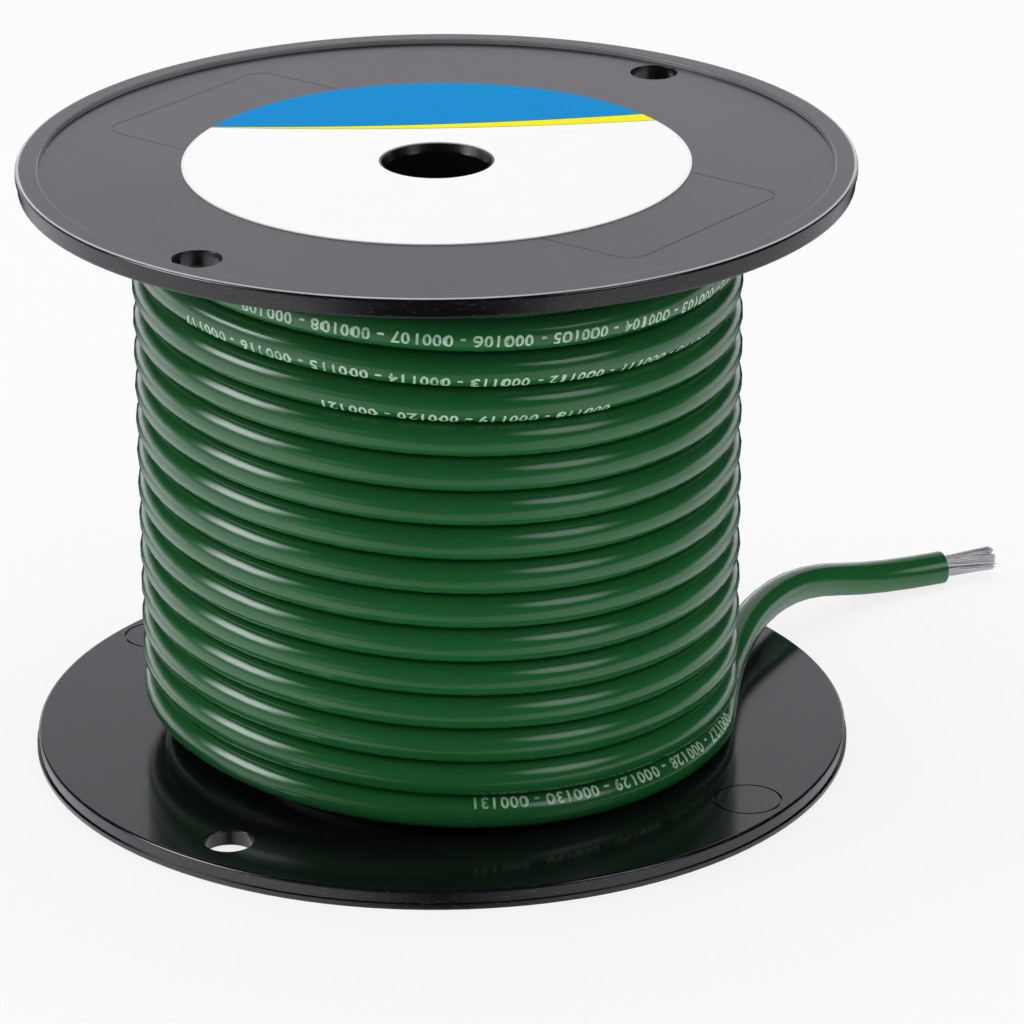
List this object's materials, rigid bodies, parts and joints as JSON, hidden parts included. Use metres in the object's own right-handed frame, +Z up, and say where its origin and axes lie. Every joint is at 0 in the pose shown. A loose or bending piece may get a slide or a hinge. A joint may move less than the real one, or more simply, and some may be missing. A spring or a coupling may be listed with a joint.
{
  "type": "wire spool",
  "caption": "Round flanged plastic spool standing on one flange, filled with neatly wound jacketed wire whose stripped end lies beside it.",
  "frame": {"origin": "centre of the lower flange's outer face, where the spool stands", "axes": "+Z up the arbor bore from the lower to the upper flange, -Y towards the side the spool is seen from"},
  "size_m": [0.1868, 0.155, 0.1143],
  "materials": {
    "black_styrene": "moulded black polystyrene, satin outside and glossy inside",
    "barrel_board": "black tube under the wire",
    "label_paper": "coated white paper with a plain blue and yellow field",
    "green_jacket": "smooth green vinyl wire jacket",
    "tinned_copper": "bright tinned copper strands"
  },
  "bodies": {
    "root": {"upper_flange": "black_styrene", "lower_flange": "black_styrene", "barrel": "barrel_board", "arbor_tube": "barrel_board", "label": "label_paper", "wire_winding": "green_jacket", "wire_free_end": "green_jacket", "wire_strands": "tinned_copper"}
  },
  "joints": []
}
